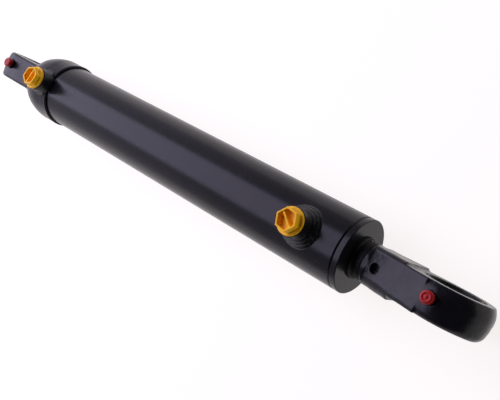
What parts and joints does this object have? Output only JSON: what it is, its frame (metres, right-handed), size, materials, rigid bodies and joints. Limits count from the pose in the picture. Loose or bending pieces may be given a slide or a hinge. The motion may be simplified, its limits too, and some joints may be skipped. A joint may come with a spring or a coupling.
{
  "type": "hydraulic cylinder",
  "caption": "Double-acting welded hydraulic cylinder: steel barrel with a forged base eye, screwed rod eye, oil ports with transit plugs and capped grease nipples.",
  "frame": {"origin": "centre of the base eye's bore, in the middle of the eye's width", "axes": "+X along the cylinder from the base eye to the rod eye; +Y along both eye bores; +Z is the side of the oil ports and grease nipples"},
  "size_m": [0.7671, 0.0852, 0.1133],
  "materials": {
    "black_paint": "gloss black enamel",
    "hard_chrome": "ground and polished hard chrome",
    "turned_steel": "turned steel, oiled",
    "bush_steel": "ground hardened steel",
    "black_oxide_steel": "black oxide",
    "seal_rubber": "nitrile rubber",
    "wiper_polyurethane": "black polyurethane",
    "seal_polyurethane": "blue polyurethane",
    "guide_strip": "fabric-filled resin",
    "backup_plastic": "plain plastic",
    "slide_ring": "bronze-filled PTFE",
    "red_plastic": "soft glossy plastic",
    "yellow_plastic": "soft glossy plastic"
  },
  "bodies": {
    "barrel": {"barrel_tube": "black_paint", "base_end_cap": "black_paint", "base_weld": "black_paint", "head_port_boss": "black_paint", "head_port_weld": "black_paint", "gland": "black_paint", "rod_wiper": "wiper_polyurethane", "rod_seal": "seal_polyurethane", "gland_wear_bands": "guide_strip", "gland_o_ring": "seal_rubber", "gland_backup_ring": "backup_plastic", "base_eye_bush": "bush_steel", "base_grease_nipple": "black_paint"},
    "piston_seals": {"piston_seal": "slide_ring", "piston_seal_energiser": "seal_rubber", "piston_wear_rings": "guide_strip"},
    "rod": {"piston_rod": "hard_chrome", "piston": "turned_steel", "piston_nut": "turned_steel", "piston_o_ring": "seal_rubber", "rod_eye": "black_paint", "rod_eye_set_screw": "black_oxide_steel", "rod_eye_bush": "bush_steel", "rod_eye_dust_seals": "seal_rubber", "rod_grease_nipple": "black_paint"},
    "base_port_plug": {"base_port_plug": "yellow_plastic"},
    "head_port_plug": {"head_port_plug": "yellow_plastic"},
    "base_grease_cap": {"base_grease_cap": "red_plastic"},
    "rod_grease_cap": {"rod_grease_cap": "red_plastic"}
  },
  "joints": [
    {"name": "rod_slide", "type": "slide", "parent": "barrel", "child": "piston_seals", "axis": [1, 0, 0], "range_m": [0, 0.36]},
    {"name": "rod_turn", "type": "hinge", "parent": "piston_seals", "child": "rod", "pos_m": [0.14, 0, 0], "axis": [1, 0, 0], "continuous": true},
    {"name": "base_port_plug_pull", "type": "slide", "parent": "barrel", "child": "base_port_plug", "axis": [0, 0.0698, 0.9976], "range_m": [0, 0.03]},
    {"name": "head_port_plug_pull", "type": "slide", "parent": "barrel", "child": "head_port_plug", "axis": [0, 0.0698, 0.9976], "range_m": [0, 0.03]},
    {"name": "base_grease_cap_pull", "type": "slide", "parent": "barrel", "child": "base_grease_cap", "axis": [0, 0.0698, 0.9976], "range_m": [0, 0.02]},
    {"name": "rod_grease_cap_pull", "type": "slide", "parent": "rod", "child": "rod_grease_cap", "axis": [0, 0.0698, 0.9976], "range_m": [0, 0.02]}
  ]
}
